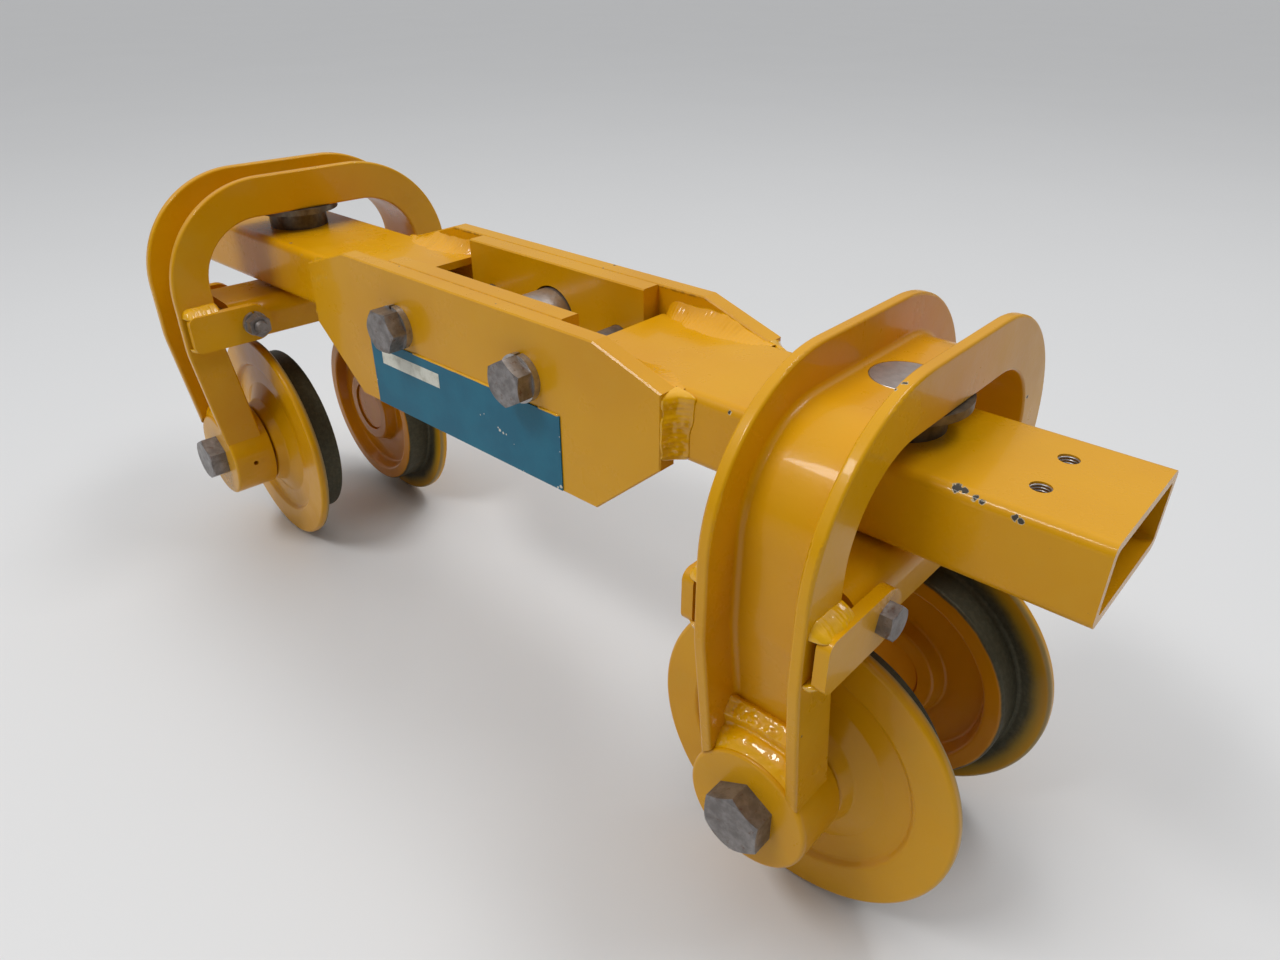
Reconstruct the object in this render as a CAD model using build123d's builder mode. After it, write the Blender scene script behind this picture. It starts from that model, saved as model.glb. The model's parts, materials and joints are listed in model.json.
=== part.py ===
"""Beam trolley: a four-wheel hoist trolley for patented track, standing on its wheels.

Millimetres, +Z up, origin on the floor under the middle of the load bar. X runs along the load bar.
In service the trolley hangs the other way up: the wheels run on the track's flange and the bar hangs below.
"""

import os
from math import cos, radians

from build123d import *

os.makedirs("parts", exist_ok=True)

# Load bar: two rectangular tubes joined by two welded side plates.
BAR_HALF_LENGTH = 351.0
TUBE_WIDTH = 76.2
TUBE_HEIGHT = 38.1
TUBE_WALL = 4.76
TUBE_CORNER = 5.0
TUBE_TOP = 245.0
TUBE_BOTTOM = TUBE_TOP - TUBE_HEIGHT
BAR_GAP_HALF = 83.3
TUBE_SIDE = TUBE_WIDTH / 2

SIDE_PLATE_THICKNESS = 11.1
SIDE_PLATE_FACE = TUBE_SIDE + SIDE_PLATE_THICKNESS
PLATE_TOP = TUBE_TOP + 14.5
PLATE_BOTTOM = TUBE_TOP - 80.3
PLATE_TOP_HALF = 109.0
PLATE_END = 153.4
PLATE_END_LOW = TUBE_TOP - 40.8
PLATE_EDGE = 0.8

# Hanger: two bored plates bolted inside the side plates, carrying the load pin.
HANGER_HALF_LENGTH = 76.2
HANGER_THICKNESS = 12.7
HANGER_HEIGHT = 76.2
HANGER_FACE = TUBE_SIDE - HANGER_THICKNESS
PIN_BORE_RADIUS = 19.05
PIN_BORE_HEIGHT = TUBE_TOP - 19.5
LOAD_PIN_RADIUS = 18.25
LOAD_PIN_HALF_LENGTH = TUBE_SIDE - 0.5
LOAD_PIN_DROP = 0.5
LOAD_PIN_EDGE = 1.5
HANGER_BOLT_X = 56.2
HANGER_BOLT_RADIUS = 7.94

# Accessory holes tapped in the top of the right tube.
TAPPED_HOLE_X = 315.7
TAPPED_HOLE_SPACING = 29.6
TAPPED_HOLE_RADIUS = 4.4

# Nameplate on the front side plate.
NAMEPLATE_LEFT = -89.0
NAMEPLATE_RIGHT = 84.0
NAMEPLATE_TOP = TUBE_TOP - 34.0
NAMEPLATE_THICKNESS = 0.8
NAMEPLATE_NOTCH_RADIUS = 14.4
NAMEPLATE_BOTTOM_MARGIN = 1.0

# Yokes: an upturned U of channel with its flanges outward.
YOKE_X = 248.0
LEFT_YOKE_TURN = -5.0
CHANNEL_HALF_WIDTH = 26.0
FLANGE_THICKNESS = 6.0
WEB_THICKNESS = 5.5
ARCH_INSIDE = TUBE_TOP + 16.0
ARCH_OUTSIDE = TUBE_TOP + 43.0
LEG_INSIDE = 82.0
LEG_OUTSIDE = 107.5
ARCH_INNER_RADIUS = 42.0
ARCH_OUTER_RADIUS = 74.0
LEG_BEND_HEIGHT = 176.0
LEG_FOOT_INSIDE = 69.0
LEG_FOOT_OUTSIDE = 95.5
CHANNEL_ROOT_RADIUS = 3.0
CHANNEL_TOE_RADIUS = 1.5
SAME_EDGE = 0.05

# Axle bosses at the feet of the legs, and the wheels inside them.
AXLE_HEIGHT = 82.5
BOSS_RADIUS = 31.75
BOSS_INNER = 67.5
BOSS_OUTER = 97.3
BOSS_EDGE = 2.0
BOSS_SEAT_GAP = 0.05
AXLE_BOLT_RADIUS = 9.525
BOLT_HOLE_CLEARANCE = 0.2
GREASE_HOLE_RADIUS = 1.8

TREAD_RADIUS = 66.5
FLANGE_RADIUS = 82.5
WHEEL_INNER = 30.0
TREAD_END = 48.7
WHEEL_OUTER = 56.1
HUB_OUTER = 65.5
WHEEL_EDGE = 2.2
WHEEL_FLANGE_TAPER = 1.0
RIM_DEPTH = 10.0
HUB_RING_RADIUS = 29.0
RECESS_DEPTH = 9.0
RECESS_SLOPE = 3.0
OUTER_RECESS_OUTSIDE = 62.0
OUTER_RECESS_SLOPE = 2.5
OUTER_RECESS_DEPTH = 3.2
HUB_CONE_RADIUS = 46.0
HUB_FOOT_RADIUS = 34.0
HUB_STEP = 2.0
HUB_NOSE_RADIUS = 30.5
BEARING_RADIUS = 20.64
BEARING_WIDTH = 11.1
BEARING_LIP = 2.0
BEARING_SPACER = 1.0
LIP_RADIUS = 17.0
BEARING_PITCH_RADIUS = 15.1
BALL_RADIUS = 3.2
BALL_PLAY = 0.1
BALL_COUNT = 8
INNER_RACE_RADIUS = 13.0
OUTER_RACE_INSIDE = 17.2
OUTER_BEARING_START = HUB_OUTER - BEARING_LIP - BEARING_WIDTH
INNER_BEARING_START = OUTER_BEARING_START - BEARING_SPACER - BEARING_WIDTH
CAP_FACE = WHEEL_INNER + 1.4
CAP_THICKNESS = 1.3
CAP_SKIRT_INSIDE = 18.4
CAP_EDGE = 1.2
AXLE_END_GAP = 0.5
AXLE_END = CAP_FACE + CAP_THICKNESS + AXLE_END_GAP

# Tie bar under the load bar, bolted to lugs on the legs.
LUG_GAP = 3.0
LUG_THICKNESS = 6.0
LUG_INNER_FACE = CHANNEL_HALF_WIDTH + LUG_GAP
LUG_OUTER_FACE = LUG_INNER_FACE + LUG_THICKNESS
LUG_TOP = TUBE_BOTTOM - 2.7
LUG_HEIGHT = 26.0
LUG_OUTER_END = 104.5
LUG_WELD_HEIGHT = 5.5
LUG_CORNER = 5.0
LUG_WELD_INNER = 83.0
TIE_BOLT_Y = 61.0
TIE_BOLT_Z = LUG_TOP - LUG_HEIGHT / 2
TIE_BAR_FIT_GAP = 0.2
TIE_BAR_HALF_WIDTH = LUG_INNER_FACE - TIE_BAR_FIT_GAP
TIE_BAR_HALF_LENGTH = 73.0
TIE_BAR_WALL = 6.0
TIE_BAR_BEND = 11.0
TIE_BOLT_RADIUS = 4.76
TIE_BOLT_UP = (0, 1, 4)

# King pin through the yoke web, thrust discs, load bar and tie bar.
KING_HEAD_RADIUS = 15.875
KING_PIN_RADIUS = 12.7
KING_RUNNING_GAP = 0.08
KING_THREAD_RADIUS = 11.0
BUSH_RADIUS = 15.875
THRUST_PLATE_THICKNESS = 4.0
THRUST_SPLIT = ARCH_INSIDE - THRUST_PLATE_THICKNESS
THRUST_WASHER_RADIUS = 20.5
THRUST_PLATE_RADIUS = 29.5
THRUST_BORE_RADIUS = 13.0
TIE_BAR_UNDERSIDE = LUG_TOP - TIE_BAR_WALL
KING_NUT_HEIGHT = 15.0
KING_NUT_FLATS = 32.0
KING_PIN_TAIL = 22.0
KING_HEAD_EDGE = 0.6
KING_TAIL_EDGE = 1.5
COTTER_RADIUS = 1.6
COTTER_EYE_RADIUS = 2.4
COTTER_HOLE_CLEARANCE = 0.1
COTTER_BELOW_NUT = 2.2
COTTER_OVERHANG = 2.0
COTTER_EYE_THICKNESS = 1.3

# Hex fasteners: across flats, head height, nut height, washer outside radius and thickness.
LARGE_FLATS = 28.6
LARGE_HEAD = 12.0
LARGE_NUT = 16.2
LARGE_PITCH = 2.54
LARGE_WASHER_RADIUS = 15.6
LARGE_WASHER = 4.7
MEDIUM_FLATS = 24.0
MEDIUM_HEAD = 10.3
MEDIUM_NUT = 13.9
MEDIUM_PITCH = 2.31
MEDIUM_WASHER_RADIUS = 13.8
MEDIUM_WASHER = 4.0
SMALL_FLATS = 14.3
SMALL_HEAD = 6.2
SMALL_NUT = 8.3
SMALL_PITCH = 1.59
SMALL_WASHER_RADIUS = 8.6
SMALL_WASHER = 2.4
JAM_NUT = INNER_BEARING_START - AXLE_END
NUT_BORE_CLEARANCE = 0.05
WASHER_BORE_CLEARANCE = 0.6
WASHER_SPLIT = 2.2
HEX_CHAMFER_RATIO = 0.17
THREAD_DEPTH_RATIO = 0.55
LARGE_TAIL = 5.0
MEDIUM_TAIL = 4.5
SMALL_TAIL = 3.5
LARGE_EXTRA_THREAD = 20.0
MEDIUM_EXTRA_THREAD = 17.0
SMALL_EXTRA_THREAD = 10.0


def save(node, part, place=Location()):
    """Write one node to parts/, moved to its place."""
    placed = place * part
    placed.label = node
    export_step(placed, f"parts/{node}.step")


def facing(x, y, z, normal, up=(0, 0, 1)):
    """A plane whose +Z is normal, for sketches and fasteners that point that way."""
    return Plane(origin=(x, y, z), x_dir=up, z_dir=normal)


def copies(part, planes):
    """One node holding a copy of part on each plane."""
    with BuildPart() as group:
        for plane in planes:
            add(part.moved(plane.location))
    return group.part


# ---- fasteners, each along +Z with its bearing face at z = 0 ----


def hex_blank(flats, height, both_ends):
    """Hexagon standing on z = 0 with its corners turned off at the top, or at both ends."""
    corner = flats / 2 / cos(radians(30))
    bevel = flats * HEX_CHAMFER_RATIO / 2
    foot = bevel if both_ends else 0
    with BuildPart() as blank:
        with BuildSketch(Plane.XY):
            RegularPolygon(radius=flats / 2, side_count=6, major_radius=False)
        extrude(amount=height)
        with BuildSketch(Plane.XZ):
            Polygon(
                (0, 0),
                (corner + bevel - 2 * foot, 0),
                (corner + bevel, foot),
                (corner + bevel, height - bevel),
                (corner - bevel, height),
                (0, height),
                align=None,
            )
        revolve(axis=Axis.Z, mode=Mode.INTERSECT)
    return blank.part


def threaded_shank(radius, length, threaded, pitch):
    """Shank from z = 0 down to -length, with ring threads over its last stretch."""
    depth = THREAD_DEPTH_RATIO * pitch
    start = length - threaded
    turns = int((threaded - pitch) / pitch)
    points = [(0, 0), (radius, 0), (radius, -start)]
    for turn in range(turns):
        z = -start - turn * pitch
        points.append((radius - depth, z - pitch / 2))
        points.append((radius, z - pitch))
    points += [(radius - depth, -length), (0, -length)]
    with BuildPart() as shank:
        with BuildSketch(Plane.XZ):
            with BuildLine():
                Polyline(*points, close=True)
            make_face()
        revolve(axis=Axis.Z)
    return shank.part


def hex_bolt(flats, head, radius, length, threaded, pitch):
    """Hex-head bolt: head above z = 0, shank below it."""
    with BuildPart() as bolt:
        add(hex_blank(flats, head, both_ends=False))
        add(threaded_shank(radius, length, threaded, pitch))
    return bolt.part


def hex_nut(flats, height, bore_radius):
    """Hex nut standing on z = 0."""
    with BuildPart() as nut:
        add(hex_blank(flats, height, both_ends=True))
        with BuildSketch(Plane.XY):
            Circle(bore_radius)
        extrude(amount=height, mode=Mode.SUBTRACT)
    return nut.part


def lock_washer(radius, bore_radius, thickness):
    """Split spring washer standing on z = 0."""
    with BuildPart() as washer:
        with BuildSketch(Plane.XY):
            Circle(radius)
            Circle(bore_radius, mode=Mode.SUBTRACT)
            with Locations((radius, 0)):
                Rectangle(2 * radius, WASHER_SPLIT, mode=Mode.SUBTRACT)
        extrude(amount=thickness)
    return washer.part


def disc(radius, bore_radius, bottom, top):
    """Flat ring about Z between two heights."""
    with BuildPart() as ring:
        with BuildSketch(Plane.XY.offset(bottom)):
            Circle(radius)
            Circle(bore_radius, mode=Mode.SUBTRACT)
        extrude(amount=top - bottom)
    return ring.part


# ---- load bar ----


def beam_tube(side, tapped):
    """Rectangular tube from the middle gap out to one end, bored for the king pin."""
    middle = TUBE_TOP - TUBE_HEIGHT / 2
    with BuildPart() as tube:
        with BuildSketch(Plane(origin=(side * BAR_GAP_HALF, 0, middle), x_dir=(0, 1, 0), z_dir=(side, 0, 0))):
            RectangleRounded(TUBE_WIDTH, TUBE_HEIGHT, TUBE_CORNER)
            RectangleRounded(
                TUBE_WIDTH - 2 * TUBE_WALL,
                TUBE_HEIGHT - 2 * TUBE_WALL,
                TUBE_CORNER - TUBE_WALL / 2,
                mode=Mode.SUBTRACT,
            )
        extrude(amount=BAR_HALF_LENGTH - BAR_GAP_HALF)
        with BuildSketch(Plane.XY.offset(TUBE_BOTTOM)):
            with Locations((side * YOKE_X, 0)):
                Circle(BUSH_RADIUS)
        extrude(amount=TUBE_HEIGHT, mode=Mode.SUBTRACT)
        if tapped:
            with BuildSketch(Plane.XY.offset(TUBE_TOP)):
                with Locations((side * TAPPED_HOLE_X, 0)):
                    with GridLocations(0, TAPPED_HOLE_SPACING, 1, 2):
                        Circle(TAPPED_HOLE_RADIUS)
            extrude(amount=-2 * TUBE_WALL, mode=Mode.SUBTRACT)
    return tube.part


def side_plate(side):
    """Eight-sided plate welded to the sides of both tubes, drilled for the hanger bolts."""
    outline = [
        (-PLATE_TOP_HALF, PLATE_TOP),
        (PLATE_TOP_HALF, PLATE_TOP),
        (PLATE_END, TUBE_TOP),
        (PLATE_END, PLATE_END_LOW),
        (PLATE_TOP_HALF, PLATE_BOTTOM),
        (-PLATE_TOP_HALF, PLATE_BOTTOM),
        (-PLATE_END, PLATE_END_LOW),
        (-PLATE_END, TUBE_TOP),
    ]
    with BuildPart() as plate:
        with BuildSketch(Plane.XZ.offset(-side * TUBE_SIDE)):
            Polygon(*outline, align=None)
            with Locations((-HANGER_BOLT_X, PIN_BORE_HEIGHT), (HANGER_BOLT_X, PIN_BORE_HEIGHT)):
                Circle(HANGER_BOLT_RADIUS + BOLT_HOLE_CLEARANCE, mode=Mode.SUBTRACT)
        extrude(amount=-side * SIDE_PLATE_THICKNESS)
        chamfer(plate.edges().filter_by(Plane.XZ).filter_by(GeomType.LINE), length=PLATE_EDGE)
    return plate.part


def hanger_plate(side):
    """Flat bar bored for the load pin, between the tube ends."""
    with BuildPart() as plate:
        with BuildSketch(Plane.XZ.offset(-side * HANGER_FACE)):
            with Locations((0, PLATE_TOP - HANGER_HEIGHT / 2)):
                Rectangle(2 * HANGER_HALF_LENGTH, HANGER_HEIGHT)
            with Locations((0, PIN_BORE_HEIGHT)):
                Circle(PIN_BORE_RADIUS, mode=Mode.SUBTRACT)
            with Locations((-HANGER_BOLT_X, PIN_BORE_HEIGHT), (HANGER_BOLT_X, PIN_BORE_HEIGHT)):
                Circle(HANGER_BOLT_RADIUS + BOLT_HOLE_CLEARANCE, mode=Mode.SUBTRACT)
        extrude(amount=-side * HANGER_THICKNESS)
        chamfer(plate.edges().filter_by(Axis.X), length=PLATE_EDGE)
    return plate.part


def load_pin():
    """Round pin lying loose in the two hanger bores, captive between the side plates."""
    with BuildPart() as pin:
        with BuildSketch(Plane.XZ.offset(-LOAD_PIN_HALF_LENGTH)):
            with Locations((0, PIN_BORE_HEIGHT - LOAD_PIN_DROP)):
                Circle(LOAD_PIN_RADIUS)
        extrude(amount=2 * LOAD_PIN_HALF_LENGTH)
        chamfer(pin.edges().filter_by(GeomType.CIRCLE), length=LOAD_PIN_EDGE)
    return pin.part


def nameplate():
    """Thin plate on the front side plate, notched round the bolt washers."""
    width = NAMEPLATE_RIGHT - NAMEPLATE_LEFT
    height = NAMEPLATE_TOP - PLATE_BOTTOM - NAMEPLATE_BOTTOM_MARGIN
    with BuildPart() as plate:
        with BuildSketch(Plane.XZ.offset(SIDE_PLATE_FACE)):
            with Locations((NAMEPLATE_LEFT + width / 2, NAMEPLATE_TOP - height / 2)):
                Rectangle(width, height)
            with Locations((-HANGER_BOLT_X, PIN_BORE_HEIGHT), (HANGER_BOLT_X, PIN_BORE_HEIGHT)):
                Circle(NAMEPLATE_NOTCH_RADIUS, mode=Mode.SUBTRACT)
        extrude(amount=NAMEPLATE_THICKNESS)
    return plate.part


def build_load_bar():
    save("left_beam_tube", beam_tube(-1, tapped=False))
    save("right_beam_tube", beam_tube(1, tapped=True))
    save("front_side_plate", side_plate(-1))
    save("rear_side_plate", side_plate(1))
    save("front_hanger_plate", hanger_plate(-1))
    save("rear_hanger_plate", hanger_plate(1))
    save("load_pin", load_pin())
    save("nameplate", nameplate())
    grip = 2 * SIDE_PLATE_FACE + 2 * MEDIUM_WASHER
    head_side = SIDE_PLATE_FACE + MEDIUM_WASHER
    tail = MEDIUM_NUT + MEDIUM_TAIL
    threaded = tail + MEDIUM_EXTRA_THREAD
    bolt = hex_bolt(MEDIUM_FLATS, MEDIUM_HEAD, HANGER_BOLT_RADIUS, grip + tail, threaded, MEDIUM_PITCH)
    nut = hex_nut(MEDIUM_FLATS, MEDIUM_NUT, HANGER_BOLT_RADIUS + NUT_BORE_CLEARANCE)
    washer = lock_washer(MEDIUM_WASHER_RADIUS, HANGER_BOLT_RADIUS + WASHER_BORE_CLEARANCE, MEDIUM_WASHER)
    spots = (-HANGER_BOLT_X, HANGER_BOLT_X)
    heads = [
        facing(-HANGER_BOLT_X, -head_side, PIN_BORE_HEIGHT, (0, -1, 0), up=(1, 0, 0)),
        facing(HANGER_BOLT_X, -head_side, PIN_BORE_HEIGHT, (0, -1, 0)),
    ]
    tails = [facing(x, head_side, PIN_BORE_HEIGHT, (0, 1, 0)) for x in spots]
    washer_seats = [facing(x, -SIDE_PLATE_FACE, PIN_BORE_HEIGHT, (0, -1, 0)) for x in spots]
    washer_seats += [facing(x, SIDE_PLATE_FACE, PIN_BORE_HEIGHT, (0, 1, 0)) for x in spots]
    save("hanger_bolts", copies(bolt, heads))
    save("hanger_bolt_nuts", copies(nut, tails))
    save("hanger_bolt_washers", copies(washer, washer_seats))
    bush = disc(BUSH_RADIUS, KING_PIN_RADIUS + KING_RUNNING_GAP, TUBE_BOTTOM, TUBE_TOP)
    washer = disc(THRUST_WASHER_RADIUS, THRUST_BORE_RADIUS, TUBE_TOP, THRUST_SPLIT)
    for name, side in (("left", -1), ("right", 1)):
        place = Location((side * YOKE_X, 0, 0))
        save(f"{name}_pivot_bush", bush, place)
        save(f"{name}_thrust_washer", washer, place)


# ---- yoke, in its own frame: Z is the king pin axis, Y across the track, +X towards the end of the bar ----


def arch_line(leg, foot, top, radius):
    """Half outline of the arch, from the middle of its top to the foot of one leg."""
    return FilletPolyline(
        (0, top),
        (leg, top),
        (leg, LEG_BEND_HEIGHT),
        (foot, AXLE_HEIGHT),
        radius=radius,
    )


def arch(x, inside, outside):
    """The whole arch between two outlines, drawn across the track at x."""
    with BuildSketch(Plane.YZ.offset(x)) as face:
        with BuildLine():
            inner = arch_line(*inside)
            outer = arch_line(*outside)
            Line(inner @ 0, outer @ 0)
            Line(inner @ 1, outer @ 1)
        make_face()
        mirror(about=Plane.YZ)
    return face.sketch


def yoke_channel():
    """Channel bent into a U, flanges outward, its feet shaped to sit on the bosses."""
    inside = (LEG_INSIDE, LEG_FOOT_INSIDE, ARCH_INSIDE, ARCH_INNER_RADIUS)
    outside = (LEG_OUTSIDE, LEG_FOOT_OUTSIDE, ARCH_OUTSIDE, ARCH_OUTER_RADIUS)
    web_outside = (
        LEG_INSIDE + WEB_THICKNESS,
        LEG_FOOT_INSIDE + WEB_THICKNESS,
        ARCH_INSIDE + WEB_THICKNESS,
        ARCH_INNER_RADIUS + WEB_THICKNESS,
    )
    root = CHANNEL_HALF_WIDTH - FLANGE_THICKNESS
    with BuildPart() as channel:
        extrude(arch(-CHANNEL_HALF_WIDTH, inside, web_outside), amount=2 * CHANNEL_HALF_WIDTH)
        for start in (-CHANNEL_HALF_WIDTH, root):
            extrude(arch(start, inside, outside), amount=FLANGE_THICKNESS)
        webs = [arch(x, inside, web_outside) for x in (-root, root)]
        corners = [e for e in channel.edges() if min(web.distance_to(e @ 0.5) for web in webs) < SAME_EDGE]
        fillet(corners, radius=CHANNEL_ROOT_RADIUS)
        planes = (-CHANNEL_HALF_WIDTH, -root, root, CHANNEL_HALF_WIDTH)
        outlines = [arch(x, inside, outside).face().outer_wire() for x in planes]
        upper = [e for e in channel.edges() if (e @ 0.5).Z > AXLE_HEIGHT + FLANGE_THICKNESS]
        toes = [e for e in upper if min(line.distance_to(e @ 0.5) for line in outlines) < SAME_EDGE]
        fillet(toes, radius=CHANNEL_TOE_RADIUS)
        with BuildSketch(Plane.XZ.offset(-LEG_OUTSIDE)):
            with Locations((0, AXLE_HEIGHT)):
                Circle(BOSS_RADIUS + BOSS_SEAT_GAP)
                Rectangle(4 * BOSS_RADIUS, 2 * BOSS_RADIUS, align=(Align.CENTER, Align.MAX))
        extrude(amount=2 * LEG_OUTSIDE, mode=Mode.SUBTRACT)
        with BuildSketch(Plane.XY.offset(ARCH_INSIDE)):
            Circle(KING_HEAD_RADIUS)
        extrude(amount=WEB_THICKNESS, mode=Mode.SUBTRACT)
    return channel.part


def axle_bosses():
    """Two round bosses that hold the axle bolts, each with a grease hole."""
    with BuildPart() as bosses:
        for side in (-1, 1):
            with BuildSketch(Plane.XZ.offset(-side * BOSS_INNER)):
                with Locations((0, AXLE_HEIGHT)):
                    Circle(BOSS_RADIUS)
                    Circle(AXLE_BOLT_RADIUS + BOLT_HOLE_CLEARANCE, mode=Mode.SUBTRACT)
            extrude(amount=-side * (BOSS_OUTER - BOSS_INNER))
            with BuildSketch(Plane.YZ.offset(-BOSS_RADIUS)):
                with Locations((side * (BOSS_INNER + BOSS_OUTER) / 2, AXLE_HEIGHT)):
                    Circle(GREASE_HOLE_RADIUS)
            extrude(amount=BOSS_RADIUS, mode=Mode.SUBTRACT)
        circles = bosses.edges().filter_by(GeomType.CIRCLE)
        large = [e for e in circles if e.radius > BOSS_RADIUS - BOSS_EDGE]
        rims = [e for e in large if abs(e.center().Y) > BOSS_OUTER - BOSS_EDGE]
        fillet(rims, radius=BOSS_EDGE)
    return bosses.part


def tie_lugs():
    """Four lugs, spaced off the channel flanges by their welds and rounded about the tie bolts."""
    radius = LUG_HEIGHT / 2
    bottom = LUG_TOP - LUG_HEIGHT
    weld_length = LUG_OUTER_END - LUG_CORNER - LUG_WELD_INNER
    weld_heights = (LUG_TOP - LUG_WELD_HEIGHT / 2, bottom + LUG_WELD_HEIGHT / 2)
    with BuildPart() as lugs:
        for end in (-1, 1):
            for side in (-1, 1):
                outer = side * LUG_OUTER_END
                bolt = side * TIE_BOLT_Y
                with BuildSketch(Plane.YZ.offset(end * LUG_INNER_FACE)) as outline:
                    Polygon((bolt, LUG_TOP), (outer, LUG_TOP), (outer, bottom), (bolt, bottom), align=None)
                    corners = outline.vertices().sort_by(lambda v: side * v.X)
                    fillet(corners[2:], radius=LUG_CORNER)
                    with Locations((bolt, TIE_BOLT_Z)):
                        Circle(radius)
                        Circle(TIE_BOLT_RADIUS + BOLT_HOLE_CLEARANCE, mode=Mode.SUBTRACT)
                extrude(amount=end * LUG_THICKNESS)
                weld_middle = side * (LUG_WELD_INNER + weld_length / 2)
                with BuildSketch(Plane.YZ.offset(end * CHANNEL_HALF_WIDTH)):
                    with Locations(*[(weld_middle, height) for height in weld_heights]):
                        Rectangle(weld_length, LUG_WELD_HEIGHT)
                extrude(amount=end * LUG_GAP)
    return lugs.part


def tie_bar():
    """Channel pressed from plate, open downward, that holds the foot of the king pin."""
    bottom = LUG_TOP - LUG_HEIGHT
    inner_half = TIE_BAR_HALF_WIDTH - TIE_BAR_WALL
    layers = (
        (TIE_BAR_HALF_WIDTH, LUG_TOP, TIE_BAR_BEND, Mode.ADD),
        (inner_half, TIE_BAR_UNDERSIDE, TIE_BAR_BEND - TIE_BAR_WALL, Mode.SUBTRACT),
    )
    with BuildPart() as bar:
        with BuildSketch(Plane.XZ.offset(-TIE_BAR_HALF_LENGTH)):
            for half, top, bend, mode in layers:
                corners = ((-half, bottom), (-half, top), (half, top), (half, bottom))
                with BuildLine():
                    bent = FilletPolyline(*corners, radius=bend)
                    Line(bent @ 1, bent @ 0)
                make_face(mode=mode)
        extrude(amount=2 * TIE_BAR_HALF_LENGTH)
        with BuildSketch(Plane.XY.offset(TIE_BAR_UNDERSIDE)):
            Circle(KING_PIN_RADIUS + KING_RUNNING_GAP)
        extrude(amount=TIE_BAR_WALL, mode=Mode.SUBTRACT)
        with BuildSketch(Plane.YZ.offset(-TIE_BAR_HALF_WIDTH)):
            with Locations((-TIE_BOLT_Y, TIE_BOLT_Z), (TIE_BOLT_Y, TIE_BOLT_Z)):
                Circle(TIE_BOLT_RADIUS + BOLT_HOLE_CLEARANCE)
        extrude(amount=2 * TIE_BAR_HALF_WIDTH, mode=Mode.SUBTRACT)
    return bar.part


def king_pin():
    """Flush-headed pin from the yoke web down through the load bar and tie bar, threaded at its foot."""
    tail = TIE_BAR_UNDERSIDE - KING_PIN_TAIL
    head_top = ARCH_INSIDE + WEB_THICKNESS
    with BuildPart() as pin:
        with BuildSketch(Plane.XZ):
            Polygon(
                (0, head_top),
                (KING_HEAD_RADIUS - KING_HEAD_EDGE, head_top),
                (KING_HEAD_RADIUS, head_top - KING_HEAD_EDGE),
                (KING_HEAD_RADIUS, ARCH_INSIDE),
                (KING_PIN_RADIUS, ARCH_INSIDE),
                (KING_PIN_RADIUS, TIE_BAR_UNDERSIDE),
                (KING_THREAD_RADIUS, TIE_BAR_UNDERSIDE),
                (KING_THREAD_RADIUS, tail + KING_TAIL_EDGE),
                (KING_THREAD_RADIUS - KING_TAIL_EDGE, tail),
                (0, tail),
                align=None,
            )
        revolve(axis=Axis.Z)
        with BuildSketch(Plane.YZ.offset(-KING_PIN_RADIUS)):
            with Locations((0, cotter_height())):
                Circle(COTTER_RADIUS + COTTER_HOLE_CLEARANCE)
        extrude(amount=2 * KING_PIN_RADIUS, mode=Mode.SUBTRACT)
    return pin.part


def cotter_height():
    """Height of the cotter hole, just below the king pin nut."""
    return TIE_BAR_UNDERSIDE - KING_NUT_HEIGHT - COTTER_BELOW_NUT


def cotter_pin():
    """Cotter through the king pin: a straight leg, a round eye and a bent-over tail."""
    reach = KING_THREAD_RADIUS + COTTER_OVERHANG
    height = cotter_height()
    with BuildPart() as cotter:
        with BuildLine() as wire:
            leg = Line((-reach, 0, height), (reach, 0, height))
            JernArc(start=leg @ 1, tangent=leg % 1, radius=COTTER_EYE_RADIUS, arc_size=-60)
        with BuildSketch(Plane(origin=wire.line @ 0, z_dir=wire.line % 0)):
            Circle(COTTER_RADIUS)
        sweep(path=wire.line)
        with Locations((-reach - COTTER_RADIUS, 0, height)):
            Torus(COTTER_EYE_RADIUS, COTTER_EYE_THICKNESS)
    return cotter.part


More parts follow.
